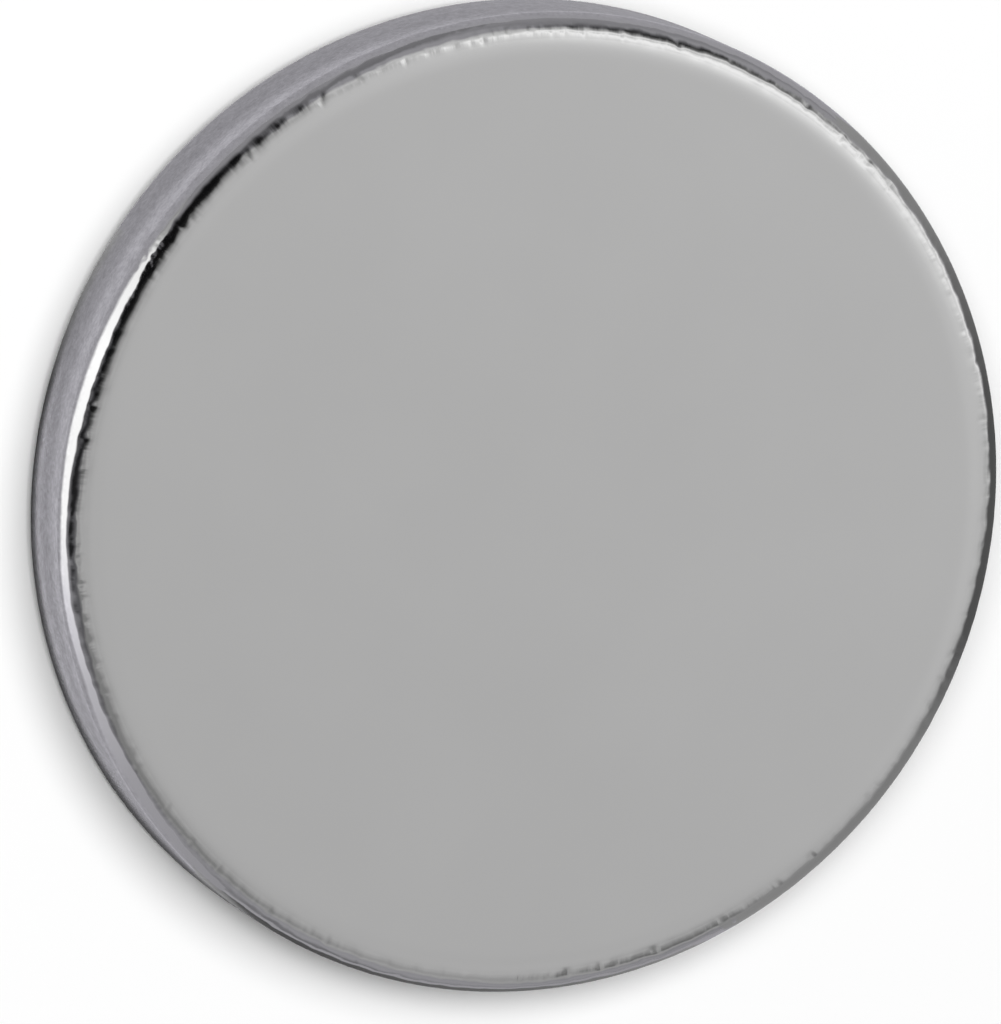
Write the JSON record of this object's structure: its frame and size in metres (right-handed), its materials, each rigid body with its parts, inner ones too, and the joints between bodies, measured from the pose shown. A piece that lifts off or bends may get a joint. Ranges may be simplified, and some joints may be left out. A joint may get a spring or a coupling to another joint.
{
  "type": "disc magnet",
  "caption": "Thin solid disc magnet with two flat poles and small tumbled edges, bright nickel plated, for holding or for gluing into a pocket.",
  "frame": {"origin": "centre of the flat face that the disc lies on", "axes": "+Z along the disc's axis, from the face it lies on towards the other one"},
  "size_m": [0.016, 0.016, 0.002],
  "materials": {
    "nickel_plate": "bright nickel plate over ground faces and tumbled edges"
  },
  "bodies": {
    "root": {"magnet_disc": "nickel_plate"}
  },
  "joints": []
}
